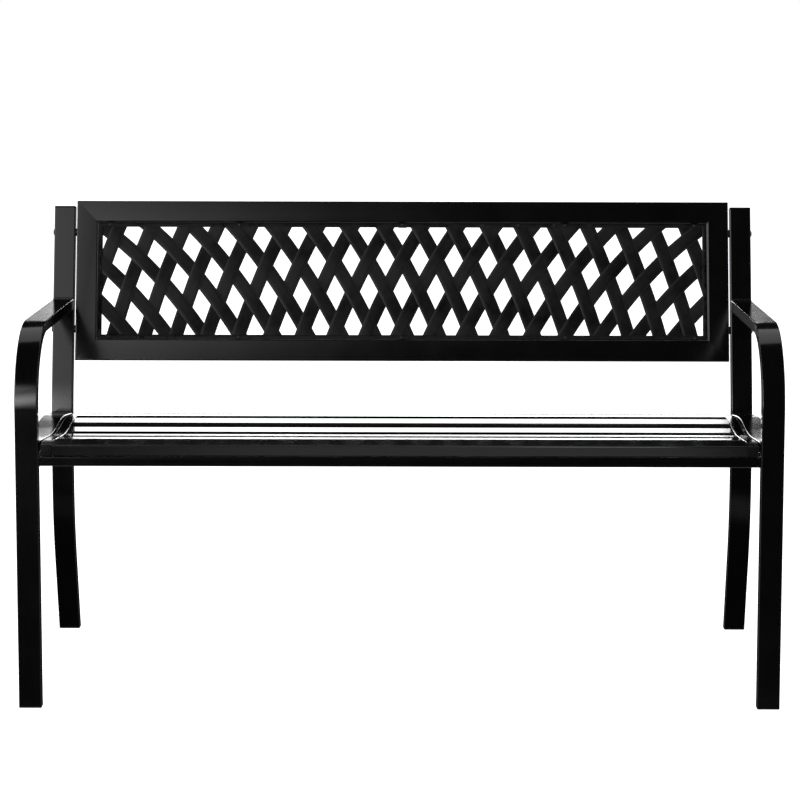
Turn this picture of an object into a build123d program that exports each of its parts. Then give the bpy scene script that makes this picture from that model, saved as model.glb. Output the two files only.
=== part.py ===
"""Park bench with two bent tube side frames, a dished slatted seat and a framed lattice back.

The bench faces -Y, stands on Z = 0 and is centred on X = 0. It is laid out with Y = 0 on
the front face of the front legs, and each piece moves back to the middle of the depth as
it is written.
"""
import os
from math import cos, radians, sin, tan

from build123d import *

# Tube stock
TUBE_WIDE = 38.0
TUBE_THIN = 19.0
TUBE_WALL = 1.2
TUBE_CORNER = 2.0
CUT_OVERRUN = 5.0

# Side frames
BENCH_WIDTH = 1270.0
PLUG_FLANGE = 3.0
ARM_CROWN_HEIGHT = 641.0
ARM_FALL_ANGLE = 2.5
ARM_BEND_RADIUS = 120.5
REAR_WAIST_DEPTH = 444.5
REAR_BEND_RADIUS = 490.0
FOOT_CORNER_HEIGHT = 217.0
FOOT_SPLAY_ANGLE = 17.0
LEAN_CORNER_HEIGHT = 417.5
LEAN_ANGLE = 13.2
POST_LENGTH = 373.0

# Back panel, measured up the lean from the corner of the rear tube's centre line
PANEL_TOP = 385.5
PANEL_HEIGHT = 291.0
PANEL_SIDE_GAP = 3.0
PANEL_BOLT_INSET = 57.0

# Lattice insert, with its rows numbered downward from the top corners
LATTICE_SLACK = 0.5
LATTICE_RECESS = 6.0
LATTICE_BASE = 2.8
LATTICE_RELIEF = 1.2
LATTICE_RIM = 8.5
MIDDLE_ROW = 2
MIDDLE_ROW_HEIGHT = 40.0
ROW_PITCH = 56.3
ROW_PITCH_GROWTH = 2.0
COLUMN_PITCH = 62.45
COLUMN_PITCH_LOSS = 1.53
ROW_SAG = 0.845
ROW_SAG_LOSS = 0.075
OPEN_SHARE = 0.53
OVER_STRIP_EXTRA_SHARE = 0.36
FIRST_ROW = 0
LAST_ROW = 4
COLUMN_REACH = 19
SMALLEST_OPENING = 60.0
LATTICE_SCREW_SHARES = (-0.96, -0.535, 0.0, 0.535, 0.96)

# Seat, as the line of its top seen from the side, with its drops taken from the front crest
SEAT_HEIGHT = 449.0
SEAT_DEPTH = 430.0
SEAT_FRONT_DROP = 2.5
SEAT_CREST_DEPTH_SHARE = 0.0744
SEAT_DIP_DROP = 19.5
SEAT_DIP_DEPTH_SHARE = 0.442
SEAT_RISE_DROP = 13.0
SEAT_RISE_DEPTH_SHARE = 0.744
SEAT_END_DROP = 30.0
SEAT_CREST_RADIUS = 100.0
SEAT_DIP_RADIUS = 480.0
SEAT_RISE_RADIUS = 420.0
END_BAR_SIZE = 19.0
SEAT_SETBACK = 2.0
SEAT_SIDE_GAP = 4.0
SLAT_THICKNESS = 10.0
SLAT_WALL = 1.0
SLAT_COUNT = 5
FRONT_RAIL_INSET = 20.5
REAR_RAIL_INSET = 15.7
STAY_WIDTH = 30.0
STAY_THICKNESS = 3.0
STAY_CLEARANCE = 0.9
SEAT_BOLT_SHARES = (0.273, 0.884)

# Beams between the side frames, with their drops taken from the seat's front crest
FRONT_BEAM_SETBACK = 1.0
FRONT_BEAM_HEIGHT = 16.0
FRONT_BEAM_DROP = 22.0
REAR_BEAM_DROP = 61.0

# Bolts, nuts, spacers, screws and tabs
SEATING_GAP = 0.1
BOLT_DIAMETER = 6.0
BOLT_HOLE = 6.6
BOLT_HEAD_DIAMETER = 11.0
BOLT_HEAD_HEIGHT = 2.4
BOLT_SOCKET = 4.0
BOLT_SOCKET_DEPTH = 1.4
BOLT_TAIL = 1.0
SPACER_DIAMETER = 14.0
NUT_ACROSS_FLATS = 10.0
NUT_HEIGHT = 5.0
SCREW_DIAMETER = 3.0
SCREW_HOLE = 3.4
SCREW_HEAD_DIAMETER = 6.0
SCREW_HEAD_HEIGHT = 1.6
SCREW_TAIL = 2.0
TAB_WIDTH = 14.0
TAB_DEPTH = 9.5
TAB_THICKNESS = 2.0

# Plastic tube plugs
PLUG_CLEARANCE = 0.3
PLUG_INSERT = 14.0
PLUG_INSERT_TAPER = 1.0
PLUG_WALL = 2.0
PLUG_EDGE = 1.0

HALF_WIDTH = BENCH_WIDTH / 2
HALF_WIDE = TUBE_WIDE / 2
HALF_THIN = TUBE_THIN / 2
FRAME_X = HALF_WIDTH - HALF_WIDE
FRAME_INNER_X = HALF_WIDTH - TUBE_WIDE
PANEL_HALF = FRAME_INNER_X - PANEL_SIDE_GAP
END_BAR_OUTER_X = FRAME_INNER_X - SEAT_SIDE_GAP
END_BAR_X = END_BAR_OUTER_X - END_BAR_SIZE / 2
SLAT_HALF = END_BAR_OUTER_X - END_BAR_SIZE
SEAT_CREST_DEPTH = SEAT_DEPTH * SEAT_CREST_DEPTH_SHARE
SEAT_DIP_DEPTH = SEAT_DEPTH * SEAT_DIP_DEPTH_SHARE
SEAT_RISE_DEPTH = SEAT_DEPTH * SEAT_RISE_DEPTH_SHARE
PANEL_HALF_HEIGHT = PANEL_HEIGHT / 2
LEAN_SLOPE = Vector(0, sin(radians(LEAN_ANGLE)), cos(radians(LEAN_ANGLE)))
LEAN_CORNER = Vector(0, REAR_WAIST_DEPTH, LEAN_CORNER_HEIGHT)
DEPTH = (LEAN_CORNER + LEAN_SLOPE * PANEL_TOP).Y + HALF_THIN * cos(radians(LEAN_ANGLE))


def side_path(points, radii):
    """A line in the side view through (depth, height) points, with its corners rounded."""
    with BuildLine(Plane.YZ) as line:
        FilletPolyline(*points, radius=radii)
    return line.wires()[0]


def along(path, wide, thin, corner=0.0):
    """A solid bar of the given section swept along a side-view path."""
    start = Plane(origin=path @ 0, x_dir=(1, 0, 0), z_dir=path % 0)
    section = RectangleRounded(wide, thin, corner) if corner else Rectangle(wide, thin)
    return sweep(start * section, path=path)


def bent_tube(path, wide, thin, wall):
    """A rectangular tube along a side-view path."""
    start = Plane(origin=path @ 0, x_dir=(1, 0, 0), z_dir=path % 0)
    section = RectangleRounded(wide, thin, TUBE_CORNER) - Rectangle(wide - 2 * wall,
                                                                    thin - 2 * wall)
    return sweep(start * section, path=path)


def cross_tube(length, deep, high, wall):
    """A straight rectangular tube along X, centred on the origin."""
    ends = Plane(origin=(-length / 2, 0, 0), x_dir=(0, 1, 0), z_dir=(1, 0, 0))
    outside = extrude(ends * RectangleRounded(deep, high, TUBE_CORNER), length)
    inside = extrude(ends * Rectangle(deep - 2 * wall, high - 2 * wall), length)
    return outside - inside


def cross_bore(diameter, start_x, end_x, point):
    """A round bar along X between two X positions, through a side-view point."""
    plane = Plane(origin=(start_x, point.Y, point.Z), x_dir=(0, 1, 0), z_dir=(1, 0, 0))
    return extrude(plane * Circle(diameter / 2), end_x - start_x)


def below(height):
    """A block that fills everything under a height near the side frames."""
    size = BENCH_WIDTH + 2 * CUT_OVERRUN
    return Pos(0, REAR_WAIST_DEPTH / 2, height) * Box(
        size, size, size, align=(Align.CENTER, Align.CENTER, Align.MAX))


def shifted(shape, x):
    return Pos(x, 0, 0) * shape


def both_sides(shape):
    """The shape and its mirror image, as one group of separate solids."""
    return Compound(children=list(shape.solids()) + list(mirror(shape, about=Plane.YZ).solids()))


# Side-view centre lines of the arm and leg tube, the rear tube and the seat

foot_drop = FOOT_CORNER_HEIGHT + TUBE_THIN
rear_foot = (REAR_WAIST_DEPTH + foot_drop * tan(radians(FOOT_SPLAY_ANGLE)), -TUBE_THIN)
post_end = LEAN_CORNER + LEAN_SLOPE * POST_LENGTH
rear_path = side_path(
    [rear_foot,
     (REAR_WAIST_DEPTH, FOOT_CORNER_HEIGHT),
     (REAR_WAIST_DEPTH, LEAN_CORNER_HEIGHT),
     (post_end.Y, post_end.Z)],
    [REAR_BEND_RADIUS, REAR_BEND_RADIUS])

arm_fall = tan(radians(ARM_FALL_ANGLE))
arm_line_height = ARM_CROWN_HEIGHT - HALF_THIN / cos(radians(ARM_FALL_ANGLE))
arm_reach = REAR_WAIST_DEPTH + (arm_line_height - LEAN_CORNER_HEIGHT) * tan(radians(LEAN_ANGLE))
arm_path = side_path(
    [(HALF_THIN, PLUG_FLANGE),
     (HALF_THIN, arm_line_height - arm_fall * HALF_THIN),
     (arm_reach - HALF_THIN / 2, arm_line_height - arm_fall * (arm_reach - HALF_THIN / 2))],
    [ARM_BEND_RADIUS])


def seat_path(drop, start_depth, end_depth):
    """The seat's side-view line, a set drop under its top, between two depths."""
    crest = SEAT_HEIGHT - drop
    front_rise = SEAT_FRONT_DROP / SEAT_CREST_DEPTH
    end_fall = (SEAT_END_DROP - SEAT_RISE_DROP) / (SEAT_DEPTH - SEAT_RISE_DEPTH)
    return side_path(
        [(start_depth, crest - front_rise * (SEAT_CREST_DEPTH - start_depth)),
         (SEAT_CREST_DEPTH, crest),
         (SEAT_DIP_DEPTH, crest - SEAT_DIP_DROP),
         (SEAT_RISE_DEPTH, crest - SEAT_RISE_DROP),
         (end_depth, crest - SEAT_RISE_DROP - end_fall * (end_depth - SEAT_RISE_DEPTH))],
        [SEAT_CREST_RADIUS, SEAT_DIP_RADIUS, SEAT_RISE_RADIUS])


seat_top = seat_path(0, 0, SEAT_DEPTH)


def seat_place(distance, drop):
    """The place on the seat at a distance along its top, a drop under it, turned to its slope."""
    share = distance / seat_top.length
    upward = (seat_top % share).cross(Vector(-1, 0, 0))
    return Plane(origin=seat_top @ share, x_dir=(1, 0, 0), z_dir=upward) * Pos(0, 0, -drop)


# Rear leg and back post: one tube splayed at the foot, upright at the waist and leaning above

rear_envelope = along(rear_path, TUBE_WIDE, TUBE_THIN) - below(PLUG_FLANGE)
rear_tube = bent_tube(rear_path, TUBE_WIDE, TUBE_THIN, TUBE_WALL) - below(PLUG_FLANGE)
panel_bottom = PANEL_TOP - PANEL_HEIGHT
panel_bolt_points = [
    LEAN_CORNER + LEAN_SLOPE * (PANEL_TOP - PANEL_BOLT_INSET),
    LEAN_CORNER + LEAN_SLOPE * (panel_bottom + PANEL_BOLT_INSET)]
for point in panel_bolt_points:
    rear_tube -= cross_bore(BOLT_HOLE, -TUBE_WIDE, TUBE_WIDE, point)

# Arm and front leg: one tube, vertical, bent over the top and coped against the back post

arm_tube = bent_tube(arm_path, TUBE_WIDE, TUBE_THIN, TUBE_WALL) - rear_envelope
front_envelope = Pos(0, HALF_THIN, PLUG_FLANGE) * Box(
    TUBE_WIDE, TUBE_THIN, SEAT_HEIGHT,
    align=(Align.CENTER, Align.CENTER, Align.MIN))

# Seat side rail: a tube laid flat between the front leg and the rear leg

rail_path = seat_path(HALF_THIN, HALF_THIN, REAR_WAIST_DEPTH)
seat_rail = bent_tube(rail_path, TUBE_WIDE, TUBE_THIN, TUBE_WALL)
seat_rail = seat_rail - front_envelope - rear_envelope
seat_bolt_points = [
    seat_place(share * seat_top.length, HALF_THIN).position for share in SEAT_BOLT_SHARES]
for point in seat_bolt_points:
    seat_rail -= cross_bore(BOLT_HOLE, -TUBE_WIDE, TUBE_WIDE, point)

# Seat end bar: a square tube that carries the slat ends, bolted to the side rail

end_bar_path = seat_path(END_BAR_SIZE / 2, SEAT_SETBACK + PLUG_FLANGE, SEAT_DEPTH - PLUG_FLANGE)
end_bar = bent_tube(end_bar_path, END_BAR_SIZE, END_BAR_SIZE, TUBE_WALL)
for point in seat_bolt_points:
    end_bar -= cross_bore(BOLT_HOLE, 0, END_BAR_SIZE, point)

# Seat rails and slats, welded between the end bars

rear_rail_distance = seat_top.length - REAR_RAIL_INSET
slat_pitch = (rear_rail_distance - FRONT_RAIL_INSET) / (SLAT_COUNT + 1)
seat_rail_tube = cross_tube(2 * SLAT_HALF, TUBE_WIDE, TUBE_THIN, TUBE_WALL)
seat_front_rail = seat_place(FRONT_RAIL_INSET, HALF_THIN) * seat_rail_tube
seat_rear_rail = seat_place(rear_rail_distance, HALF_THIN) * seat_rail_tube
slat_tube = cross_tube(2 * SLAT_HALF, TUBE_WIDE, SLAT_THICKNESS, SLAT_WALL)
slats = [
    seat_place(FRONT_RAIL_INSET + number * slat_pitch, SLAT_THICKNESS / 2) * slat_tube
    for number in range(1, SLAT_COUNT + 1)]

# Stay under the middle of the slats: a flat bar from the front rail to the rear rail

stay_drop = SLAT_THICKNESS + STAY_CLEARANCE + STAY_THICKNESS / 2
stay = along(seat_path(stay_drop, 0, SEAT_DEPTH), STAY_WIDTH, STAY_THICKNESS)
rail_block = Box(2 * SLAT_HALF, TUBE_WIDE, TUBE_THIN)
for distance in (FRONT_RAIL_INSET, rear_rail_distance):
    stay -= seat_place(distance, HALF_THIN) * rail_block
stay = stay.solids().sort_by(SortBy.VOLUME)[-1]

# Beams that tie the two side frames together, one under the seat front and one behind

front_beam_middle = SEAT_HEIGHT - FRONT_BEAM_DROP - FRONT_BEAM_HEIGHT / 2
front_beam = Pos(0, FRONT_BEAM_SETBACK + HALF_WIDE, front_beam_middle) * cross_tube(
    2 * FRAME_INNER_X, TUBE_WIDE, FRONT_BEAM_HEIGHT, TUBE_WALL)
rear_beam = Pos(0, REAR_WAIST_DEPTH, SEAT_HEIGHT - REAR_BEAM_DROP - HALF_WIDE) * cross_tube(
    2 * FRAME_INNER_X, TUBE_THIN, TUBE_WIDE, TUBE_WALL)

# Back panel frame: four tubes mitred at the corners, drawn flat and then leaned back

panel_middle = LEAN_CORNER + LEAN_SLOPE * (PANEL_TOP - PANEL_HEIGHT / 2)
panel_place = Plane(origin=panel_middle, x_dir=(1, 0, 0), z_dir=LEAN_SLOPE)


def mitre_cut(half_length):
    """The two wedges that mitre the ends of a tube along X whose outer side faces +Z."""
    tip = half_length + CUT_OVERRUN
    root = half_length - TUBE_WIDE - CUT_OVERRUN
    with BuildSketch(Plane.XZ) as wedge:
        Polygon((tip, HALF_WIDE + CUT_OVERRUN),
                (root, -HALF_WIDE - CUT_OVERRUN),
                (tip, -HALF_WIDE - CUT_OVERRUN), align=None)
    cut = extrude(wedge.sketch, TUBE_THIN, both=True)
    return cut + mirror(cut, about=Plane.YZ)


def panel_tube(half_length):
    tube = cross_tube(2 * half_length, TUBE_THIN, TUBE_WIDE, TUBE_WALL)
    return tube - mitre_cut(half_length)


rail_offset = PANEL_HALF_HEIGHT - HALF_WIDE
stile_offset = PANEL_HALF - HALF_WIDE
top_rail_flat = Pos(0, 0, rail_offset) * panel_tube(PANEL_HALF)
bottom_rail_flat = Pos(0, 0, -rail_offset) * Rot(0, 180, 0) * panel_tube(PANEL_HALF)
right_stile_flat = Pos(stile_offset, 0, 0) * Rot(0, 90, 0) * panel_tube(PANEL_HALF_HEIGHT)
panel_bolt_heights = [
    PANEL_HALF_HEIGHT - PANEL_BOLT_INSET,
    PANEL_BOLT_INSET - PANEL_HALF_HEIGHT]
for height in panel_bolt_heights:
    right_stile_flat -= cross_bore(BOLT_HOLE, stile_offset, PANEL_HALF + CUT_OVERRUN,
                                   Vector(0, 0, height))
left_stile_flat = mirror(right_stile_flat, about=Plane.YZ)

# Lattice insert: a moulded sheet of strips that cross over and under along fanned arcs

opening_half = PANEL_HALF - TUBE_WIDE
opening_half_height = PANEL_HALF_HEIGHT - TUBE_WIDE
lattice_half = opening_half - LATTICE_SLACK
lattice_half_height = opening_half_height - LATTICE_SLACK
lattice_front = LATTICE_RECESS - HALF_THIN


def lattice_point(column, row):
    """Where a lattice column and row meet, on the panel, in X and in height up the panel."""
    step = row - MIDDLE_ROW
    x = column * (COLUMN_PITCH - COLUMN_PITCH_LOSS * step) / 2
    sag = (ROW_SAG - ROW_SAG_LOSS * step) * column**2 / 4
    return x, MIDDLE_ROW_HEIGHT - ROW_PITCH * step - ROW_PITCH_GROWTH * step**2 - sag


def lattice_face(corners):
    """A flat face between lattice positions, kept inside the insert's rim."""
    window = Rectangle(2 * (lattice_half - LATTICE_RIM), 2 * (lattice_half_height - LATTICE_RIM))
    return window & Polygon(*[lattice_point(*corner) for corner in corners], align=None)


def strip_patch(column, row):
    """The piece of a strip that passes over the one it crosses."""
    half = 1 - OPEN_SHARE
    reach = half + OVER_STRIP_EXTRA_SHARE
    turn = 1 if row % 2 == 0 else -1
    corners = []
    for across, length in ((half, reach), (half, -reach), (-half, -reach), (-half, reach)):
        corners.append((column + (across + length) / 2, row + turn * (across - length) / 2))
    return lattice_face(corners)


openings = []
raised = []
for row in range(FIRST_ROW, LAST_ROW + 1):
    for column in range(-COLUMN_REACH, COLUMN_REACH + 1):
        if (row + column) % 2:
            found = lattice_face([(column - OPEN_SHARE, row), (column, row - OPEN_SHARE),
                                  (column + OPEN_SHARE, row), (column, row + OPEN_SHARE)])
            kept = openings
        else:
            found = strip_patch(column, row)
            kept = raised
        faces = found.faces() if found else []
        kept.extend(face for face in faces if face.area > SMALLEST_OPENING)

lattice_sheet = Rectangle(2 * lattice_half, 2 * lattice_half_height)
lattice_window = Rectangle(2 * (lattice_half - LATTICE_RIM),
                           2 * (lattice_half_height - LATTICE_RIM))
lattice_base = extrude(lattice_sheet - openings, LATTICE_BASE)
lattice_rim = extrude(lattice_sheet - lattice_window, LATTICE_RELIEF)
lattice_over = extrude(Sketch(children=raised), LATTICE_RELIEF)
lattice_upright = lattice_base + Pos(0, 0, LATTICE_BASE) * (lattice_over + lattice_rim)
lattice_depth = LATTICE_BASE + LATTICE_RELIEF
lattice_flat = Pos(0, lattice_front + lattice_depth, 0) * Rot(90, 0, 0) * lattice_upright

# Tabs welded behind the lattice rim, and the small screws that hold the lattice to them

tab_front = lattice_front + lattice_depth
screw_height = lattice_half_height - LATTICE_RIM / 2
screw_points = [
    (share * lattice_half, side * screw_height)
    for share in LATTICE_SCREW_SHARES
    for side in (1, -1)]


def screw_bar(diameter, start, length, place):
    """A round bar that runs backward from a depth in the panel at a screw point."""
    plane = Plane(origin=(place[0], start, place[1]), x_dir=(1, 0, 0), z_dir=(0, 1, 0))
    return extrude(plane * Circle(diameter / 2), length)


screw_length = lattice_depth + TAB_THICKNESS + SCREW_TAIL
tabs = []
screws = []
for place in screw_points:
    side = 1 if place[1] > 0 else -1
    tab_middle = side * (opening_half_height - TAB_DEPTH / 2)
    tab = Pos(place[0], tab_front + TAB_THICKNESS / 2, tab_middle) * Box(
        TAB_WIDTH, TAB_THICKNESS, TAB_DEPTH)
    clearance = screw_bar(SCREW_HOLE, lattice_front - CUT_OVERRUN, 3 * CUT_OVERRUN, place)
    tabs.append(tab - clearance)
    lattice_flat -= clearance
    head = screw_bar(SCREW_HEAD_DIAMETER, lattice_front - SCREW_HEAD_HEIGHT,
                     SCREW_HEAD_HEIGHT, place)
    screws.append(head + screw_bar(SCREW_DIAMETER, lattice_front, screw_length, place))

# Bolts through the tubes, with spacers in the gaps and nuts welded inside the far wall


def bolt(head_x, length, point):
    """A low-headed socket bolt that runs inward from the outer face of a side frame."""
    head = cross_bore(BOLT_HEAD_DIAMETER, head_x, head_x + BOLT_HEAD_HEIGHT, point)
    rim = head.edges().filter_by(GeomType.CIRCLE).sort_by(Axis.X)[-1]
    head = chamfer(rim, BOLT_HEAD_HEIGHT / 2)
    shank = cross_bore(BOLT_DIAMETER, head_x - length, head_x, point)
    socket_plane = Plane(origin=(head_x + BOLT_HEAD_HEIGHT, point.Y, point.Z),
                         x_dir=(0, 1, 0), z_dir=(1, 0, 0))
    socket = extrude(socket_plane * RegularPolygon(BOLT_SOCKET / 2, 6, major_radius=False),
                     -BOLT_SOCKET_DEPTH)
    return head + shank - socket


def spacer(length, point):
    """A round spacer between a side frame's inner face and the piece bolted to it."""
    ring = cross_bore(SPACER_DIAMETER, FRAME_INNER_X - length, FRAME_INNER_X, point)
    return ring - cross_bore(BOLT_HOLE, FRAME_INNER_X - length, FRAME_INNER_X, point)


def weld_nut(face_x, point):
    """A hexagon nut against the inner side of a tube wall."""
    plane = Plane(origin=(face_x - NUT_HEIGHT, point.Y, point.Z), x_dir=(0, 1, 0), z_dir=(1, 0, 0))
    flats = extrude(plane * RegularPolygon(NUT_ACROSS_FLATS / 2, 6, major_radius=False),
                    NUT_HEIGHT)
    return flats - cross_bore(BOLT_HOLE, face_x - NUT_HEIGHT, face_x, point)


def group(shapes):
    """Separate solids as one node."""
    return Compound(children=[solid for shape in shapes for solid in shape.solids()])


panel_bolt_length = TUBE_WIDE + PANEL_SIDE_GAP + TUBE_WALL + NUT_HEIGHT + BOLT_TAIL
seat_bolt_length = TUBE_WIDE + SEAT_SIDE_GAP + TUBE_WALL + NUT_HEIGHT + BOLT_TAIL
panel_bolts = group([bolt(HALF_WIDTH, panel_bolt_length, point) for point in panel_bolt_points])
panel_spacers = group([spacer(PANEL_SIDE_GAP, point) for point in panel_bolt_points])
panel_nut_face = PANEL_HALF - TUBE_WALL - SEATING_GAP
panel_nuts = group([weld_nut(panel_nut_face, point) for point in panel_bolt_points])
seat_bolts = group([bolt(HALF_WIDTH, seat_bolt_length, point) for point in seat_bolt_points])
seat_spacers = group([spacer(SEAT_SIDE_GAP, point) for point in seat_bolt_points])
seat_nut_face = END_BAR_OUTER_X - TUBE_WALL - SEATING_GAP
seat_nuts = group([weld_nut(seat_nut_face, point) for point in seat_bolt_points])

# Plastic plugs: a flange over the tube's end and a hollow insert inside it


def plug(place, wide, thin):
    """A plug whose flange lies on the place's +Z side and whose insert runs to its -Z side."""
    flange = extrude(RectangleRounded(wide, thin, TUBE_CORNER), PLUG_FLANGE - SEATING_GAP)
    flange = chamfer(flange.faces().sort_by(Axis.Z)[-1].edges(), PLUG_EDGE)
    fit_wide = wide - 2 * TUBE_WALL - 2 * PLUG_CLEARANCE
    fit_thin = thin - 2 * TUBE_WALL - 2 * PLUG_CLEARANCE
    outer = loft([Plane.XY * Rectangle(fit_wide, fit_thin),
                  Pos(0, 0, -PLUG_INSERT) * Rectangle(fit_wide - PLUG_INSERT_TAPER,
                                                      fit_thin - PLUG_INSERT_TAPER)])
    pocket = Pos(0, 0, -PLUG_INSERT) * Box(
        fit_wide - 2 * PLUG_WALL, fit_thin - 2 * PLUG_WALL, PLUG_INSERT - PLUG_WALL,
        align=(Align.CENTER, Align.CENTER, Align.MIN))
    return place * Pos(0, 0, SEATING_GAP) * (flange + (outer - pocket))


front_foot_place = Plane(origin=(FRAME_X, HALF_THIN, PLUG_FLANGE), x_dir=(1, 0, 0),
                         z_dir=(0, 0, -1))
front_foot_plug = plug(front_foot_place, TUBE_WIDE, TUBE_THIN)

# The rear foot is cut level, so its plug has a level flange and an insert along the splay

splay = radians(FOOT_SPLAY_ANGLE)
rear_foot_depth = REAR_WAIST_DEPTH + (FOOT_CORNER_HEIGHT - PLUG_FLANGE) * tan(splay)
rear_flange_place = Plane(origin=(FRAME_X, rear_foot_depth, PLUG_FLANGE), x_dir=(1, 0, 0),
                          z_dir=(0, 0, -1))
rear_flange = rear_flange_place * extrude(
    RectangleRounded(TUBE_WIDE, TUBE_THIN / cos(splay), TUBE_CORNER), PLUG_FLANGE)
rear_flange = chamfer(rear_flange.faces().sort_by(Axis.Z)[0].edges(), PLUG_EDGE)
insert_up = Vector(0, -sin(splay), cos(splay))
insert_place = Plane(origin=(FRAME_X, rear_foot_depth, PLUG_FLANGE), x_dir=(1, 0, 0),
                     z_dir=insert_up)
rear_insert = extrude(
    insert_place * Rectangle(TUBE_WIDE - 2 * TUBE_WALL - 2 * PLUG_CLEARANCE,
                             TUBE_THIN - 2 * TUBE_WALL - 2 * PLUG_CLEARANCE),
    PLUG_INSERT, both=True) - below(PLUG_FLANGE)
rear_foot_plug = rear_flange + rear_insert

post_top_place = Plane(origin=(FRAME_X, post_end.Y, post_end.Z), x_dir=(1, 0, 0),
                       z_dir=LEAN_SLOPE)
post_top_plug = plug(post_top_place, TUBE_WIDE, TUBE_THIN)

bar_front_place = Plane(origin=end_bar_path @ 0, x_dir=(1, 0, 0), z_dir=-(end_bar_path % 0))
bar_rear_place = Plane(origin=end_bar_path @ 1, x_dir=(1, 0, 0), z_dir=end_bar_path % 1)
bar_plugs = group([plug(place, END_BAR_SIZE, END_BAR_SIZE)
                   for place in (bar_front_place, bar_rear_place)])

# Every node, in bench position

nodes = {
    "left_arm_leg_tube": shifted(arm_tube, -FRAME_X),
    "right_arm_leg_tube": shifted(arm_tube, FRAME_X),
    "left_rear_leg_tube": shifted(rear_tube, -FRAME_X),
    "right_rear_leg_tube": shifted(rear_tube, FRAME_X),
    "left_seat_rail": shifted(seat_rail, -FRAME_X),
    "right_seat_rail": shifted(seat_rail, FRAME_X),
    "front_beam": front_beam,
    "rear_beam": rear_beam,
    "left_seat_end_bar": mirror(shifted(end_bar, END_BAR_X), about=Plane.YZ),
    "right_seat_end_bar": shifted(end_bar, END_BAR_X),
    "seat_front_rail": seat_front_rail,
    "seat_rear_rail": seat_rear_rail,
    "seat_stay": stay,
    "back_top_rail": panel_place.location * top_rail_flat,
    "back_bottom_rail": panel_place.location * bottom_rail_flat,
    "back_left_stile": panel_place.location * left_stile_flat,
    "back_right_stile": panel_place.location * right_stile_flat,
    "back_lattice": panel_place.location * lattice_flat,
    "lattice_tabs": panel_place.location * group(tabs),
    "lattice_screws": panel_place.location * group(screws),
    "panel_bolts": both_sides(panel_bolts),
    "panel_spacers": both_sides(panel_spacers),
    "panel_nuts": both_sides(panel_nuts),
    "seat_bolts": both_sides(seat_bolts),
    "seat_spacers": both_sides(seat_spacers),
    "seat_nuts": both_sides(seat_nuts),
    "front_foot_plugs": both_sides(front_foot_plug),
    "rear_foot_plugs": both_sides(rear_foot_plug),
    "post_top_plugs": both_sides(post_top_plug),
    "end_bar_plugs": both_sides(shifted(bar_plugs, END_BAR_X)),
}
for number, slat in enumerate(slats, start=1):
    nodes[f"seat_slat_{number}"] = slat

os.makedirs("parts", exist_ok=True)
for name, shape in nodes.items():
    export_step(Pos(0, -DEPTH / 2, 0) * shape, f"parts/{name}.step")
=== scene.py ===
import math

import bmesh
import bpy
from mathutils import Euler, Matrix, Vector


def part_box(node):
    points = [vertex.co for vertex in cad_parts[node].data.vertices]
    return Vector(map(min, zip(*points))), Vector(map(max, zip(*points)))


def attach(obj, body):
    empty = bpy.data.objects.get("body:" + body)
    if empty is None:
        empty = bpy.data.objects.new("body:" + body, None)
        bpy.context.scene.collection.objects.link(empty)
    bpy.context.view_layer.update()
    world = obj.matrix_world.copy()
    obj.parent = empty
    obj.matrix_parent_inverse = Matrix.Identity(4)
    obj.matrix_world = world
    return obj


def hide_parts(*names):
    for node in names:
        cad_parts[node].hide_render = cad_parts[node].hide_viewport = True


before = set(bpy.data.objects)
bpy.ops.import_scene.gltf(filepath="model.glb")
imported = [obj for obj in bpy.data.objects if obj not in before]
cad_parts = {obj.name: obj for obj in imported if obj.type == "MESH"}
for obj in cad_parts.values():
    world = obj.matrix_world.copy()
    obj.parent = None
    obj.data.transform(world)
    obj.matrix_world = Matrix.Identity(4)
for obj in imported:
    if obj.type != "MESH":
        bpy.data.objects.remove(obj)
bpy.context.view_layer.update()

# The studio: a pale glowing floor against a white backdrop, three soft lamps, and a dark room
# with bright soft-edged cards, which light the bench and are mirrored by its glossy coat.
# The camera has a long lens and looks down a little from above the seat.


def added(name, data):
    """A new object in the scene for some data: a camera, a lamp or a mesh."""
    thing = bpy.data.objects.new(name, data)
    bpy.context.scene.collection.objects.link(thing)
    return thing


lens_pixels = 2690.7
photo_pixels = 800
camera_pitch = 7.081
camera_roll = 0.0024
camera_data = bpy.data.cameras.new("studio_camera")
camera_data.sensor_width = 36.0
camera_data.lens = lens_pixels / photo_pixels * camera_data.sensor_width
camera_data.shift_x = -0.0311
camera_data.shift_y = -0.20
camera_data.clip_end = 60.0
camera = added("studio_camera", camera_data)
camera.location = (0.0408, -4.6314, 1.3307)
camera.rotation_euler = (
    Euler((math.radians(90.0 - camera_pitch), 0.0, 0.0)).to_matrix()
    @ Matrix.Rotation(camera_roll, 3, "Z")).to_euler()
bpy.context.scene.camera = camera
bpy.context.scene.view_settings.view_transform = "Standard"

floor_size = 14.0
floor_mesh = bpy.data.meshes.new("studio_floor")
floor_mesh.from_pydata(
    [(-floor_size, -floor_size, 0.0), (floor_size, -floor_size, 0.0),
     (floor_size, floor_size, 0.0), (-floor_size, floor_size, 0.0)],
    [], [(0, 1, 2, 3)])
studio_floor = added("studio_floor", floor_mesh)
studio_floor.visible_glossy = False
studio_floor.visible_diffuse = False
floor_paint = bpy.data.materials.new("studio_floor_paint")
floor_paint.use_nodes = True
floor_shader = floor_paint.node_tree.nodes["Principled BSDF"]
floor_shader.inputs["Base Color"].default_value = (0.94, 0.94, 0.94, 1.0)
floor_shader.inputs["Roughness"].default_value = 0.9
floor_shader.inputs["Specular IOR Level"].default_value = 0.1
floor_shader.inputs["Emission Color"].default_value = (1.0, 1.0, 1.0, 1.0)
floor_shader.inputs["Emission Strength"].default_value = 1.2
floor_mesh.materials.append(floor_paint)


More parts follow.
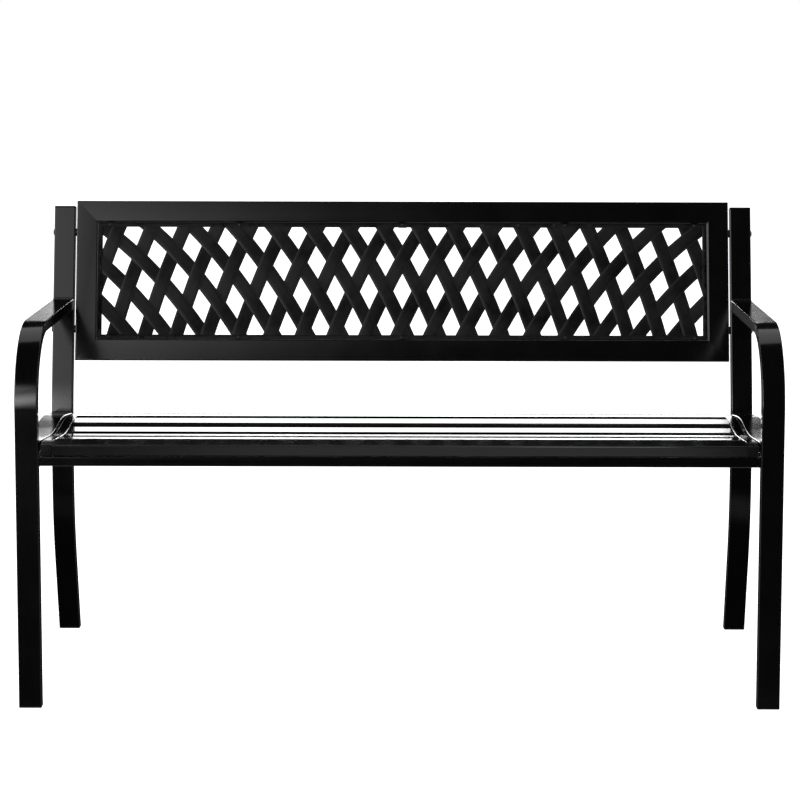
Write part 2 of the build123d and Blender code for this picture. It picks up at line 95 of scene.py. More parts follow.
def maths(tree, operation, *values):
    """The result of a maths node in a tree, fed by sockets or plain numbers."""
    node = tree.nodes.new("ShaderNodeMath")
    node.operation = operation
    for place, value in enumerate(values):
        if isinstance(value, (int, float)):
            node.inputs[place].default_value = value
        else:
            tree.links.new(value, node.inputs[place])
    return node.outputs[0]


# Each card has its brightness and its edges. An edge is an axis of the direction in which the
# card is seen, the value where the card is still dark and the value where it is fully lit.
room_strength = 0.012
cards = {
    "backdrop_middle": (3.6, ("Y", 0.25, 0.75), ("Z", -0.105, -0.065), ("Z", 0.30, 0.27),
                        ("X", -0.134, -0.128), ("X", 0.114, 0.109)),
    "backdrop_sides": (0.45, ("Y", 0.25, 0.75), ("Z", -0.20, -0.10), ("Z", 0.30, 0.27),
                       ("X", 0.25, -0.05)),
    "backdrop_foot": (1.5, ("Y", 0.25, 0.75), ("Z", -0.105, -0.065), ("Z", 0.04, -0.02)),
    "left_card": (1.8, ("Y", -0.50, -0.85), ("Z", 0.00, 0.24), ("Z", 0.47, 0.37),
                  ("X", -0.01, -0.24)),
    "left_spot": (6.5, ("Y", -0.50, -0.85), ("Z", -0.18, 0.08), ("Z", 0.28, 0.04),
                  ("X", -0.128, -0.150)),
    "left_softbox": (1.6, ("Y", 0.10, -0.40), ("Z", -0.15, 0.20), ("Z", 0.80, 0.35),
                     ("X", -0.28, -0.70)),
    "low_card": (0.42, ("Y", -0.25, -0.60), ("Z", -0.29, -0.33), ("Z", -0.50, -0.43),
                 ("X", -0.145, -0.045), ("X", 0.118, 0.098)),
    "rear_floor": (0.55, ("Y", -0.30, 0.30), ("Z", -0.30, -0.50)),
    "left_wall": (0.50, ("Z", -0.60, -0.20), ("X", -0.40, -0.80)),
    "right_wall": (0.35, ("Z", -0.60, -0.20), ("X", 0.40, 0.80)),
}
studio_world = bpy.data.worlds.new("studio_world")
bpy.context.scene.world = studio_world
studio_world.use_nodes = True
sky = studio_world.node_tree
sky.nodes.clear()
sky_out = sky.nodes.new("ShaderNodeOutputWorld")
sky_coords = sky.nodes.new("ShaderNodeTexCoord")
sky_axes = sky.nodes.new("ShaderNodeSeparateXYZ")
sky.links.new(sky_coords.outputs["Generated"], sky_axes.inputs[0])
sky_sum = room_strength
for card_name, (card_strength, *card_edges) in cards.items():
    sky_card = card_strength
    for axis, dark_from, light_from in card_edges:
        edge = sky.nodes.new("ShaderNodeMapRange")
        edge.label = card_name
        edge.interpolation_type = "SMOOTHSTEP"
        edge.inputs["From Min"].default_value = dark_from
        edge.inputs["From Max"].default_value = light_from
        sky.links.new(sky_axes.outputs[axis], edge.inputs["Value"])
        sky_card = maths(sky, "MULTIPLY", sky_card, edge.outputs["Result"])
    sky_sum = maths(sky, "ADD", sky_sum, sky_card)
sky_light = sky.nodes.new("ShaderNodeBackground")
sky_plain = sky.nodes.new("ShaderNodeBackground")
for background in (sky_light, sky_plain):
    background.inputs["Color"].default_value = (1.0, 1.0, 1.0, 1.0)
sky.links.new(sky_sum, sky_light.inputs["Strength"])
sky_ray = sky.nodes.new("ShaderNodeLightPath")
sky_mix = sky.nodes.new("ShaderNodeMixShader")
sky.links.new(sky_ray.outputs["Is Camera Ray"], sky_mix.inputs["Fac"])
sky.links.new(sky_light.outputs[0], sky_mix.inputs[1])
sky.links.new(sky_plain.outputs[0], sky_mix.inputs[2])
sky.links.new(sky_mix.outputs[0], sky_out.inputs["Surface"])

for lamp_name, lamp_place, lamp_aim, lamp_wide, lamp_high, lamp_power, lamp_mirrored in (
        ("left_softbox", (-1.75, -1.6, 1.2), (-0.5, 0.3, 0.65), 1.7, 1.5, 10.0, False),
        ("front_fill", (0.4, -2.2, 3.0), (0.0, 0.0, 0.3), 2.0, 2.0, 60.0, False),
        ("top_softbox", (0.0, 1.2, 3.2), (0.0, 0.4, 0.0), 3.0, 2.0, 16.0, True)):
    lamp_data = bpy.data.lights.new(lamp_name, "AREA")
    lamp_data.shape = "RECTANGLE"
    lamp_data.size = lamp_wide
    lamp_data.size_y = lamp_high
    lamp_data.energy = lamp_power
    lamp = added(lamp_name, lamp_data)
    lamp.location = lamp_place
    lamp.rotation_euler = (Vector(lamp_aim) - Vector(lamp_place)).to_track_quat(
        "-Z", "Y").to_euler()
    lamp.visible_camera = False
    lamp.visible_glossy = lamp_mirrored

# Side frames: each is a front leg that bends over into the arm, and a rear leg that leans
# back into the post. Both are bent from 38 x 19 mm steel tube and welded together where the
# arm meets the post, under a satin black powder coat.


def black_finish(name, shade, roughness, grain_size, grain_depth, mottle, coat=0.0,
                 uneven=0.2, cloud_scale=14.0):
    """A near-black coating with fine orange-peel grain and uneven sheen."""
    paint = bpy.data.materials.new(name)
    paint.use_nodes = True
    tree = paint.node_tree
    shader = tree.nodes["Principled BSDF"]
    place = tree.nodes.new("ShaderNodeTexCoord")
    grain = tree.nodes.new("ShaderNodeTexNoise")
    grain.inputs["Scale"].default_value = 1.0 / grain_size
    grain.inputs["Detail"].default_value = 2.0
    tree.links.new(place.outputs["Object"], grain.inputs["Vector"])
    bump = tree.nodes.new("ShaderNodeBump")
    bump.inputs["Strength"].default_value = 0.6
    bump.inputs["Distance"].default_value = grain_depth
    tree.links.new(grain.outputs["Fac"], bump.inputs["Height"])
    tree.links.new(bump.outputs["Normal"], shader.inputs["Normal"])
    cloud = tree.nodes.new("ShaderNodeTexNoise")
    cloud.inputs["Scale"].default_value = cloud_scale
    cloud.inputs["Detail"].default_value = 5.0
    cloud.inputs["Roughness"].default_value = 0.6
    tree.links.new(place.outputs["Object"], cloud.inputs["Vector"])
    patch = tree.nodes.new("ShaderNodeMapRange")
    patch.inputs["From Min"].default_value = 0.3
    patch.inputs["From Max"].default_value = 0.7
    tree.links.new(cloud.outputs["Fac"], patch.inputs["Value"])
    sheen = tree.nodes.new("ShaderNodeMapRange")
    sheen.inputs["To Min"].default_value = roughness - mottle
    sheen.inputs["To Max"].default_value = roughness + mottle
    tree.links.new(patch.outputs["Result"], sheen.inputs["Value"])
    tree.links.new(sheen.outputs["Result"], shader.inputs["Roughness"])
    tint = tree.nodes.new("ShaderNodeMix")
    tint.name = "tint"
    tint.data_type = "RGBA"
    low = shade * (1.0 - uneven)
    high = shade * (1.0 + 1.5 * uneven)
    cool_blue, warm_green, warm_blue = 1.03, 0.98, 0.96
    tint.inputs["A"].default_value = (low, low, low * cool_blue, 1.0)
    tint.inputs["B"].default_value = (high, high * warm_green, high * warm_blue, 1.0)
    tree.links.new(patch.outputs["Result"], tint.inputs["Factor"])
    tree.links.new(tint.outputs["Result"], shader.inputs["Base Color"])
    shader.inputs["Coat Weight"].default_value = coat
    shader.inputs["Coat Roughness"].default_value = roughness * 0.7
    return paint


def fixed_mesh(source, name):
    """A plain mesh of an object with its modifiers worked out."""
    bpy.context.view_layer.update()
    evaluated = source.evaluated_get(bpy.context.evaluated_depsgraph_get())
    mesh = bpy.data.meshes.new_from_object(evaluated)
    mesh.name = name
    return mesh


def smoothed(mesh, sharp_degrees):
    """Shades a mesh smooth but for the edges that turn by more than an angle."""
    mesh.shade_smooth()
    mesh.set_sharp_from_angle(angle=math.radians(sharp_degrees))


seam_distance = 0.00001


def coated(node, paint):
    """The CAD node's own shape with its seams merged and its bends shaded smooth."""
    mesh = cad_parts[node].data.copy()
    mesh.name = node + "_skin"
    work = bmesh.new()
    work.from_mesh(mesh)
    bmesh.ops.remove_doubles(work, verts=work.verts, dist=seam_distance)
    work.to_mesh(mesh)
    work.free()
    smoothed(mesh, sharp_degrees=34.0)
    mesh.materials.clear()
    mesh.materials.append(paint)
    piece = added(node + "_skin", mesh)
    flat_first = piece.modifiers.new("flat_first", "WEIGHTED_NORMAL")
    flat_first.keep_sharp = True
    piece.data = fixed_mesh(piece, node + "_skin")
    piece.modifiers.clear()
    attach(piece, "root")
    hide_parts(node)
    return piece


powder_coat = black_finish("satin_black_powder_coat", shade=0.0015, roughness=0.13,
                           grain_size=0.0011, grain_depth=0.00003, mottle=0.02, coat=0.2)
for node in ("left_arm_leg_tube", "right_arm_leg_tube", "left_rear_leg_tube",
             "right_rear_leg_tube"):
    coated(node, powder_coat)

# Seat side rails and end bars: S-curved steel tubes in the same coat. The rails are welded
# between the legs, and the end bars carry the slats and are bolted to the rails through
# short spacers.

for node in ("left_seat_rail", "right_seat_rail", "left_seat_end_bar", "right_seat_end_bar"):
    coated(node, powder_coat)

# Beams, seat rails, slats and stay: straight steel tube and flat bar, cut square and welded,
# in the same coat. The seat pieces take a glossier copy of it with a lighter colour: painted
# light that brightens their front faces.

seat_coat_painted_light = black_finish("seat_powder_coat_painted_light", shade=0.006, roughness=0.10, grain_size=0.0011,
                         grain_depth=0.000004, mottle=0.01, coat=0.3)
seat_rails = ["seat_front_rail", "seat_rear_rail"]
seat_slats = [f"seat_slat_{number}" for number in range(1, 6)]
for node in seat_rails + ["seat_stay"] + seat_slats:
    coated(node, seat_coat_painted_light)
for node in ("front_beam", "rear_beam"):
    coated(node, powder_coat)

# Back panel frame: four steel tubes mitred and welded at the corners, the seams ground flush
# and coated over. Small steel tabs welded behind the opening take the lattice's screws.

for node in ("back_top_rail", "back_bottom_rail", "back_left_stile", "back_right_stile",
             "lattice_tabs"):
    coated(node, powder_coat)

# Weld beads: short fillets of weld metal in the corners where a tube or bar butts against
# another one. They are laid by hand, from below or behind where they show least, and are
# coated together with the frame.

facing_down = -0.9
rail_end_reach = 0.006
arm_end_y = 0.195
bead_lines = []


def bead_across(node, places):
    """Bead lines over the width of a tube, at the lowest and the highest of some places."""
    low_x, high_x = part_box(node)[0][0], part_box(node)[1][0]
    for corner in (min(places, key=lambda place: place.z), max(places, key=lambda place: place.z)):
        bead_lines.append(((low_x, corner.y, corner.z), (high_x, corner.y, corner.z)))


for node in seat_rails + seat_slats:
    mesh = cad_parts[node].data
    under = [face for face in mesh.polygons if face.normal.z < facing_down]
    places = [mesh.vertices[v].co for face in under for v in face.vertices]
    front = min(places, key=lambda place: place.y)
    rear = max(places, key=lambda place: place.y)
    for end_x in (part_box(node)[0][0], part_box(node)[1][0]):
        bead_lines.append(((end_x, front.y, front.z), (end_x, rear.y, rear.z)))
for node in ("front_beam", "rear_beam"):
    (low_x, low_y, low_z), (high_x, high_y, high_z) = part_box(node)
    for end_x in (low_x, high_x):
        bead_lines.append(((end_x, low_y, low_z), (end_x, high_y, low_z)))
        bead_lines.append(((end_x, low_y, high_z), (end_x, high_y, high_z)))
        bead_lines.append(((end_x, high_y, low_z), (end_x, high_y, high_z)))
for node in ("left_seat_rail", "right_seat_rail"):
    points = [vertex.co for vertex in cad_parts[node].data.vertices]
    for end_y in (min(place.y for place in points), max(place.y for place in points)):
        bead_across(node, [place for place in points if abs(place.y - end_y) < rail_end_reach])
for node in ("left_arm_leg_tube", "right_arm_leg_tube"):
    points = [vertex.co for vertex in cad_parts[node].data.vertices]
    bead_across(node, [place for place in points if place.y > arm_end_y])


def geometry_tree(name, inputs):
    """A geometry tree with named inputs of some kinds; its input and its output node too."""
    tree = bpy.data.node_groups.new(name, "GeometryNodeTree")
    for input_name, kind in inputs.items():
        tree.interface.new_socket(input_name, in_out="INPUT", socket_type="NodeSocket" + kind)
    tree.interface.new_socket("Geometry", in_out="OUTPUT", socket_type="NodeSocketGeometry")
    return tree, tree.nodes.new("NodeGroupInput"), tree.nodes.new("NodeGroupOutput")


def end_tree(tree, geometry, material, tree_out):
    """The end of a geometry tree: instances made real, the material set, and the output."""
    real = tree.nodes.new("GeometryNodeRealizeInstances")
    tree.links.new(geometry, real.inputs["Geometry"])
    painted = tree.nodes.new("GeometryNodeSetMaterial")
    tree.links.new(real.outputs["Geometry"], painted.inputs["Geometry"])
    tree.links.new(material, painted.inputs["Material"])
    tree.links.new(painted.outputs["Geometry"], tree_out.inputs["Geometry"])


def grown(name, start_mesh, tree, values):
    """A new object with the plain mesh that a geometry tree makes from a first mesh."""
    piece = added(name, start_mesh)
    growth = piece.modifiers.new(tree.name, "NODES")
    growth.node_group = tree
    for socket in tree.interface.items_tree:
        if socket.in_out == "INPUT" and socket.name in values:
            growth[socket.identifier] = values[socket.name]
    piece.data = fixed_mesh(piece, name)
    piece.modifiers.clear()
    return piece


weld_sizes = {"Bead radius": 0.0022, "Ripple": 0.00032, "Ripple pitch": 0.0024,
              "Point step": 0.0008, "End share": 0.08}
least_taper = 0.15
bead_sides = 10
weld, weld_in, weld_out = geometry_tree("weld_bead", {
    "Geometry": "Geometry", **dict.fromkeys(weld_sizes, "Float"), "Coat": "Material"})


def weld_math(operation, *values):
    """The result of a maths node in the weld tree."""
    return maths(weld, operation, *values)


run = weld.nodes.new("GeometryNodeMeshToCurve")
weld.links.new(weld_in.outputs["Geometry"], run.inputs["Mesh"])
steps = weld.nodes.new("GeometryNodeResampleCurve")
steps.mode = "LENGTH"
weld.links.new(run.outputs["Curve"], steps.inputs["Curve"])
weld.links.new(weld_in.outputs["Point step"], steps.inputs["Length"])
spot = weld.nodes.new("GeometryNodeSplineParameter")
to_end = weld_math("MINIMUM", spot.outputs["Factor"],
                   weld_math("SUBTRACT", 1.0, spot.outputs["Factor"]))
taper = weld_math("MINIMUM", weld_math("DIVIDE", to_end, weld_in.outputs["End share"]), 1.0)
taper = weld_math("SQRT", weld_math("MAXIMUM", taper, least_taper))
turns = weld_math("DIVIDE", spot.outputs["Length"], weld_in.outputs["Ripple pitch"])
ripple = weld_math("ABSOLUTE", weld_math("SINE", weld_math("MULTIPLY", turns, math.pi)))
swell = weld_math("MULTIPLY", ripple, weld_in.outputs["Ripple"])
thick = weld_math("MULTIPLY", weld_math("ADD", weld_in.outputs["Bead radius"], swell), taper)
section = weld.nodes.new("GeometryNodeCurvePrimitiveCircle")
section.inputs["Resolution"].default_value = bead_sides
section.inputs["Radius"].default_value = 1.0
bead = weld.nodes.new("GeometryNodeCurveToMesh")
bead.inputs["Fill Caps"].default_value = True
weld.links.new(steps.outputs["Curve"], bead.inputs["Curve"])
weld.links.new(thick, bead.inputs["Scale"])
weld.links.new(section.outputs["Curve"], bead.inputs["Profile Curve"])
end_tree(weld, bead.outputs["Mesh"], weld_in.outputs["Coat"], weld_out)

line_mesh = bpy.data.meshes.new("weld_lines")
line_mesh.from_pydata([place for line in bead_lines for place in line],
                      [(2 * n, 2 * n + 1) for n in range(len(bead_lines))], [])
weld_beads = grown("weld_beads", line_mesh, weld, {**weld_sizes, "Coat": powder_coat})
smoothed(weld_beads.data, sharp_degrees=60.0)
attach(weld_beads, "root")

# Lattice insert: a moulded black plastic sheet that imitates woven strips. The strips lie on
# fanned arcs, pass over and under each other, and run into a flat rim that is screwed to the
# tabs of the panel frame.

lean = math.radians(13.2)
lattice_depth = 0.004
strip_thickness = 0.0022
rim_round = 0.0006
lattice_low, lattice_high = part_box("back_lattice")
lattice_width = lattice_high[0] - lattice_low[0]
lattice_rise = lattice_high[2] - lattice_low[2]
lattice_height = (lattice_rise - lattice_depth * math.sin(lean)) / math.cos(lean)
lattice_middle = Vector([(low + high) / 2 for low, high in zip(lattice_low, lattice_high)])
panel_turn = Matrix.Translation(lattice_middle) @ Matrix.Rotation(
    math.pi / 2 - lean, 4, "X") @ Matrix.Translation((0.0, 0.0, -lattice_depth / 2))

# A strip starts as a flat grid: X counts the crossings along it, and Y is its share of a
# column across. The tree lays these plain strips on the fanned rows and columns.
weave_sizes = {
    "Half width": lattice_width / 2, "Half height": lattice_height / 2,
    "Rim": 0.0085, "Depth": lattice_depth, "Strip share": 0.47, "Weave": 0.0012,
    "Column pitch": 0.06245, "Column loss": 0.00153, "Row pitch": 0.0563,
    "Row growth": 0.002, "Row sag": 0.000845, "Sag loss": 0.000075, "Middle row": 0.040,
    "Edge round": 0.0006}
strip_length = 5.6
strip_points_along, strip_points_across = 57, 9
strip_spacing = 2.0
strip_reach = 12
edge_power = 8.0
smallest_face = 1e-7
merge_distance = 0.00005
weave, weave_in, weave_out = geometry_tree("woven_lattice", {
    **dict.fromkeys(weave_sizes, "Float"), "Plastic": "Material"})


def weave_math(operation, *values):
    """The result of a maths node in the lattice tree."""
    return maths(weave, operation, *values)


def stored(geometry, name, value):
    """A geometry in the lattice tree with a number kept at each of its points."""
    keeper = weave.nodes.new("GeometryNodeStoreNamedAttribute")
    keeper.data_type = "FLOAT"
    keeper.domain = "POINT"
    keeper.inputs["Name"].default_value = name
    weave.links.new(geometry, keeper.inputs["Geometry"])
    weave.links.new(value, keeper.inputs["Value"])
    return keeper.outputs["Geometry"]


size = weave_in.outputs
half_rim = weave_math("MULTIPLY", size["Rim"], 0.5)
inner_half_width = weave_math("SUBTRACT", size["Half width"], half_rim)
inner_half_height = weave_math("SUBTRACT", size["Half height"], half_rim)
join = weave.nodes.new("GeometryNodeJoinGeometry")
for direction in (1, -1):
    strip = weave.nodes.new("GeometryNodeMeshGrid")
    strip.inputs["Size X"].default_value = strip_length
    strip.inputs["Vertices X"].default_value = strip_points_along
    strip.inputs["Vertices Y"].default_value = strip_points_across
    weave.links.new(size["Strip share"], strip.inputs["Size Y"])
    position = weave.nodes.new("GeometryNodeInputPosition")
    axes = weave.nodes.new("ShaderNodeSeparateXYZ")
    weave.links.new(position.outputs[0], axes.inputs[0])
    row = weave.nodes.new("GeometryNodeMeshLine")
    row.inputs["Count"].default_value = 2 * strip_reach + 1
    row.inputs["Start Location"].default_value = (-strip_spacing * strip_reach, 0.0, 0.0)
    row.inputs["Offset"].default_value = (strip_spacing, 0.0, 0.0)
    copies = weave.nodes.new("GeometryNodeInstanceOnPoints")
    weave.links.new(row.outputs["Mesh"], copies.inputs["Points"])
    weave.links.new(stored(strip.outputs["Mesh"], "along", axes.outputs["X"]),
                    copies.inputs["Instance"])
    real = weave.nodes.new("GeometryNodeRealizeInstances")
    weave.links.new(copies.outputs["Instances"], real.inputs["Geometry"])
    along = weave.nodes.new("GeometryNodeInputNamedAttribute")
    along.data_type = "FLOAT"
    along.inputs["Name"].default_value = "along"
    column = weave_math("ADD", axes.outputs["X"], axes.outputs["Y"])
    step = weave_math("MULTIPLY", weave_math("SUBTRACT", along.outputs["Attribute"],
                                             axes.outputs["Y"]), -direction)
    pitch = weave_math("SUBTRACT", size["Column pitch"],
                       weave_math("MULTIPLY", size["Column loss"], step))
    across = weave_math("MULTIPLY", weave_math("MULTIPLY", column, pitch), 0.5)
    sag = weave_math("SUBTRACT", size["Row sag"],
                     weave_math("MULTIPLY", size["Sag loss"], step))
    drop = weave_math("MULTIPLY", weave_math("MULTIPLY", sag, weave_math("POWER", column, 2.0)),
                      0.25)
    growth = weave_math("MULTIPLY", size["Row growth"], weave_math("POWER", step, 2.0))
    up = weave_math("SUBTRACT", size["Middle row"],
                    weave_math("MULTIPLY", size["Row pitch"], step))
    up = weave_math("SUBTRACT", weave_math("SUBTRACT", up, growth), drop)
    wave = weave_math("COSINE", weave_math("MULTIPLY", along.outputs["Attribute"], math.pi))
    lift = weave_math("MULTIPLY", weave_math("MULTIPLY", wave, size["Weave"]), direction)
    edge = weave_math("DIVIDE", weave_math("ABSOLUTE", axes.outputs["Y"]),
                      weave_math("MULTIPLY", size["Strip share"], 0.5))
    rounding = weave_math("MULTIPLY", weave_math("POWER", edge, edge_power), size["Edge round"])
    front = weave_math("SUBTRACT", weave_math("SUBTRACT", size["Depth"], size["Weave"]),
                       rounding)
    placed = weave.nodes.new("ShaderNodeCombineXYZ")
    for axis, value, limit in (("X", across, inner_half_width), ("Y", up, inner_half_height)):
        opposite = weave_math("MULTIPLY", limit, -1.0)
        held = weave_math("MINIMUM", weave_math("MAXIMUM", value, opposite), limit)
        weave.links.new(held, placed.inputs[axis])
    weave.links.new(weave_math("ADD", front, lift), placed.inputs["Z"])
    moved = weave.nodes.new("GeometryNodeSetPosition")
    weave.links.new(stored(real.outputs["Geometry"], "edge", edge), moved.inputs["Geometry"])
    weave.links.new(placed.outputs[0], moved.inputs["Position"])
    area = weave.nodes.new("GeometryNodeInputMeshFaceArea")
    trimmed = weave.nodes.new("GeometryNodeDeleteGeometry")
    trimmed.domain = "FACE"
    weave.links.new(moved.outputs["Geometry"], trimmed.inputs["Geometry"])
    weave.links.new(weave_math("LESS_THAN", area.outputs[0], smallest_face),
                    trimmed.inputs["Selection"])
    merged = weave.nodes.new("GeometryNodeMergeByDistance")
    merged.inputs["Distance"].default_value = merge_distance
    weave.links.new(trimmed.outputs["Geometry"], merged.inputs["Geometry"])
    result = merged.outputs["Geometry"]
    if direction == 1:
        turned_over = weave.nodes.new("GeometryNodeFlipFaces")
        weave.links.new(result, turned_over.inputs["Mesh"])
        result = turned_over.outputs["Mesh"]
    weave.links.new(result, join.inputs["Geometry"])
end_tree(weave, join.outputs["Geometry"], size["Plastic"], weave_out)

# The rounded edges of the strips are painted a little paler than their faces: a painted highlight
# where the edges catch the light.
lattice_plastic = black_finish("moulded_black_plastic", shade=0.003, roughness=0.40,
                               grain_size=0.0016, grain_depth=0.00006, mottle=0.07,
                               uneven=0.7, cloud_scale=45.0)
plastic_tree = lattice_plastic.node_tree
plastic_shader = plastic_tree.nodes["Principled BSDF"]
plastic_shader.inputs["Specular IOR Level"].default_value = 0.15
strip_edge = plastic_tree.nodes.new("ShaderNodeAttribute")
strip_edge.attribute_name = "edge"
painted_highlight_band = plastic_tree.nodes.new("ShaderNodeMapRange")
painted_highlight_band.inputs["From Min"].default_value = 0.70
painted_highlight_band.inputs["From Max"].default_value = 0.92
plastic_tree.links.new(strip_edge.outputs["Fac"], painted_highlight_band.inputs["Value"])
painted_edge_highlight = plastic_tree.nodes.new("ShaderNodeMix")
painted_edge_highlight.data_type = "RGBA"
painted_edge_highlight.inputs["B"].default_value = (0.012, 0.012, 0.0124, 1.0)
plastic_tree.links.new(painted_highlight_band.outputs["Result"], painted_edge_highlight.inputs["Factor"])
plastic_tree.links.new(plastic_tree.nodes["tint"].outputs["Result"], painted_edge_highlight.inputs["A"])
plastic_tree.links.new(painted_edge_highlight.outputs["Result"], plastic_shader.inputs["Base Color"])

lattice_sharp_degrees = 40.0
back_lattice = grown("back_lattice_strips", bpy.data.meshes.new("lattice_start"), weave,
                     {**weave_sizes, "Plastic": lattice_plastic})
back_lattice.data.transform(panel_turn)
back_lattice.data.shade_smooth()
strip_body = back_lattice.modifiers.new("strip_thickness", "SOLIDIFY")
strip_body.thickness = strip_thickness
strip_body.offset = -1.0
back_lattice.data = fixed_mesh(back_lattice, "back_lattice_strips")
back_lattice.modifiers.clear()
back_lattice.data.set_sharp_from_angle(angle=math.radians(lattice_sharp_degrees))
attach(back_lattice, "root")
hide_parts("back_lattice")


def mesh_of(work, name):
    """A new mesh of what was built in a bmesh, which is freed."""
    mesh = bpy.data.meshes.new(name)
    work.to_mesh(mesh)
    work.free()
    return mesh


rim_work = bmesh.new()
rim_loops = []
for inset, level in ((0.0, 0.0), (0.0, 1.0), (1.0, 1.0), (1.0, 0.0)):
    half_x = lattice_width / 2 - inset * weave_sizes["Rim"]
    half_y = lattice_height / 2 - inset * weave_sizes["Rim"]
    rim_loops.append([
        rim_work.verts.new((side_x * half_x, side_y * half_y, level * lattice_depth))
        for side_x, side_y in ((-1, -1), (1, -1), (1, 1), (-1, 1))])
for loop, following in zip(rim_loops, rim_loops[1:] + rim_loops[:1]):
    for corner in range(4):
        after = (corner + 1) % 4
        rim_work.faces.new((loop[corner], loop[after], following[after], following[corner]))
bmesh.ops.bevel(rim_work, geom=rim_work.edges[:], offset=rim_round, segments=2, affect="EDGES",
                profile=0.5)
bmesh.ops.recalc_face_normals(rim_work, faces=rim_work.faces)
rim_mesh = mesh_of(rim_work, "back_lattice_rim")
rim_mesh.transform(panel_turn)
smoothed(rim_mesh, lattice_sharp_degrees)
rim_mesh.materials.append(lattice_plastic)
lattice_rim = added("back_lattice_rim", rim_mesh)
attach(lattice_rim, "root")
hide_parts("back_lattice")

# Bolts, spacers and nuts: machined steel in black zinc, a little brighter and smoother than
# the coat around it. The bolts hold the back panel and the seat between the side frames.

black_zinc = black_finish("black_zinc_hardware", shade=0.02, roughness=0.28, grain_size=0.0006,
                          grain_depth=0.00003, mottle=0.06, coat=0.1)
black_zinc.node_tree.nodes["Principled BSDF"].inputs["Metallic"].default_value = 0.6
for node in ("panel_bolts", "panel_spacers", "panel_nuts", "seat_bolts", "seat_spacers",
             "seat_nuts"):
    fastener = coated(node, black_zinc)

# Lattice screws: small self-tapping pan-head screws with a cross recess, of steel in black
# zinc. They go through the lattice rim into the tabs behind it.

to_panel = panel_turn.inverted()
screw_shape = bmesh.new()
screw_shape.from_mesh(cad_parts["lattice_screws"].data)
bmesh.ops.remove_doubles(screw_shape, verts=screw_shape.verts, dist=seam_distance)
unseen = set(screw_shape.verts)
screw_places = []
for first in screw_shape.verts:
    if first not in unseen:
        continue
    unseen.remove(first)
    reached = [first]
    for vertex in reached:
        for link in vertex.link_edges:
            neighbour = link.other_vert(vertex)
            if neighbour in unseen:
                unseen.remove(neighbour)
                reached.append(neighbour)
    corners = [to_panel @ vertex.co for vertex in reached]
    low = [min(corner[axis] for corner in corners) for axis in range(3)]
    high = [max(corner[axis] for corner in corners) for axis in range(3)]
    screw_places.append(((low[0] + high[0]) / 2, (low[1] + high[1]) / 2, high[2]))
    screw_length = high[2] - low[2]
screw_shape.free()

head_radius, head_height, shank_radius, tip_length = 0.00298, 0.0016, 0.00145, 0.0014
thread_steps, thread_depth, thread_drop, tip_share = 16, 0.00018, 0.00002, 0.9
recess_long, recess_wide, recess_deep = 0.0034, 0.0009, 0.0020
turned = [(0.0, 0.0), (0.0011, -0.00006), (0.0020, -0.00026), (0.0027, -0.00070),
          (head_radius, -0.00115), (head_radius, -head_height), (shank_radius, -head_height)]
for step_number in range(thread_steps):
    depth = head_height + (screw_length - head_height - tip_length) * step_number / thread_steps
    turned.append((shank_radius - thread_depth * (step_number % 2), -depth - thread_drop))
turned += [(shank_radius * tip_share, tip_length - screw_length), (0.0, -screw_length)]
screw_work = bmesh.new()
profile = [screw_work.verts.new((reach, 0.0, depth)) for reach, depth in turned]
profile_edges = [screw_work.edges.new(pair) for pair in zip(profile, profile[1:])]
bmesh.ops.spin(screw_work, geom=profile + profile_edges, cent=(0.0, 0.0, 0.0),
               axis=(0.0, 0.0, 1.0), angle=2 * math.pi, steps=20, use_merge=True)
bmesh.ops.remove_doubles(screw_work, verts=screw_work.verts, dist=seam_distance)
bmesh.ops.recalc_face_normals(screw_work, faces=screw_work.faces)
one_screw = added("one_screw", mesh_of(screw_work, "one_screw"))
recess_work = bmesh.new()
for long_x, long_y in ((recess_long, recess_wide), (recess_wide, recess_long)):
    bmesh.ops.create_cube(recess_work, size=1.0, matrix=Matrix.Diagonal(
        (long_x, long_y, recess_deep, 1.0)))
cross_recess = added("cross_recess", mesh_of(recess_work, "cross_recess"))
recess_cut = one_screw.modifiers.new("cross_recess", "BOOLEAN")
recess_cut.operation = "DIFFERENCE"
recess_cut.solver = "EXACT"
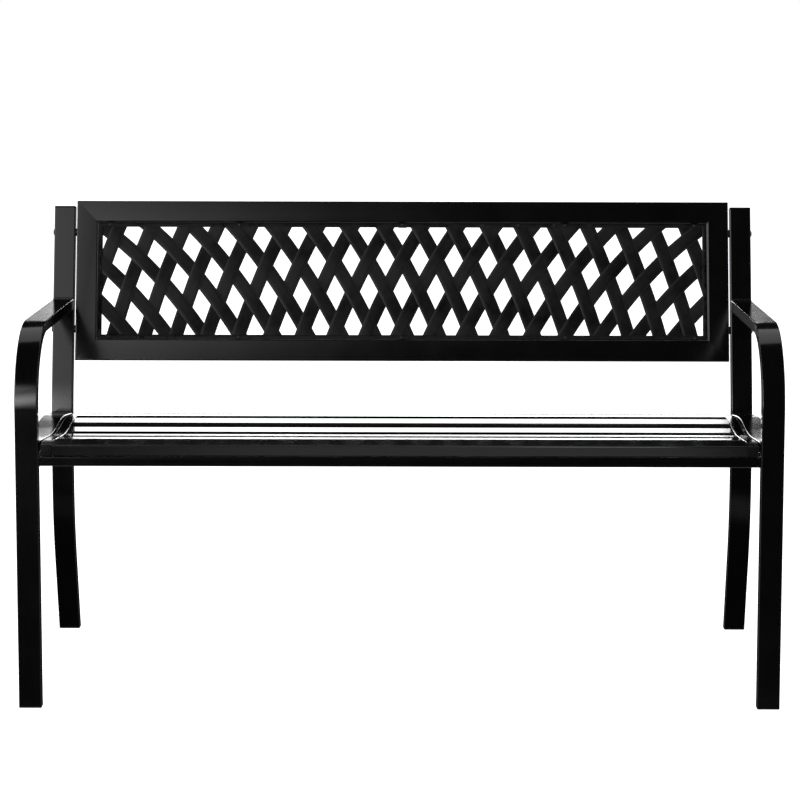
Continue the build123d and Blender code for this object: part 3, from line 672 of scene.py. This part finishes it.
recess_cut.use_self = True
recess_cut.object = cross_recess
one_screw.data = fixed_mesh(one_screw, "one_screw")
one_screw.modifiers.clear()
bpy.data.objects.remove(cross_recess)

screwing, screwing_in, screwing_out = geometry_tree("lattice_screws", {
    "Geometry": "Geometry", "Screw": "Object", "Driven turn": "Float", "Zinc": "Material"})
screw_info = screwing.nodes.new("GeometryNodeObjectInfo")
screwing.links.new(screwing_in.outputs["Screw"], screw_info.inputs["Object"])
turn = screwing.nodes.new("FunctionNodeRandomValue")
turn.inputs["Seed"].default_value = 7
turn_most, turn_value = turn.inputs[3], turn.outputs[1]
screwing.links.new(screwing_in.outputs["Driven turn"], turn_most)
turn_axes = screwing.nodes.new("ShaderNodeCombineXYZ")
screwing.links.new(turn_value, turn_axes.inputs["Z"])
driven = screwing.nodes.new("GeometryNodeInstanceOnPoints")
screwing.links.new(screwing_in.outputs["Geometry"], driven.inputs["Points"])
screwing.links.new(screw_info.outputs["Geometry"], driven.inputs["Instance"])
screwing.links.new(turn_axes.outputs[0], driven.inputs["Rotation"])
end_tree(screwing, driven.outputs["Instances"], screwing_in.outputs["Zinc"], screwing_out)

place_mesh = bpy.data.meshes.new("screw_places")
place_mesh.from_pydata(screw_places, [], [])
lattice_screws = grown("lattice_pan_screws", place_mesh, screwing,
                       {"Screw": one_screw, "Driven turn": 1.5, "Zinc": black_zinc})
bpy.data.objects.remove(one_screw)
lattice_screws.data.transform(panel_turn)
smoothed(lattice_screws.data, sharp_degrees=35.0)
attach(lattice_screws, "root")
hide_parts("lattice_screws")

# Plugs: moulded black plastic caps, pressed into the open tube ends at the feet, the post
# tops and the end bars.

plug_plastic = black_finish("moulded_plug_plastic", shade=0.003, roughness=0.45,
                            grain_size=0.0012, grain_depth=0.00008, mottle=0.06)
plug_plastic.node_tree.nodes["Principled BSDF"].inputs["Specular IOR Level"].default_value = 0.2
for node in ("front_foot_plugs", "rear_foot_plugs", "post_top_plugs", "end_bar_plugs"):
    plug = coated(node, plug_plastic)
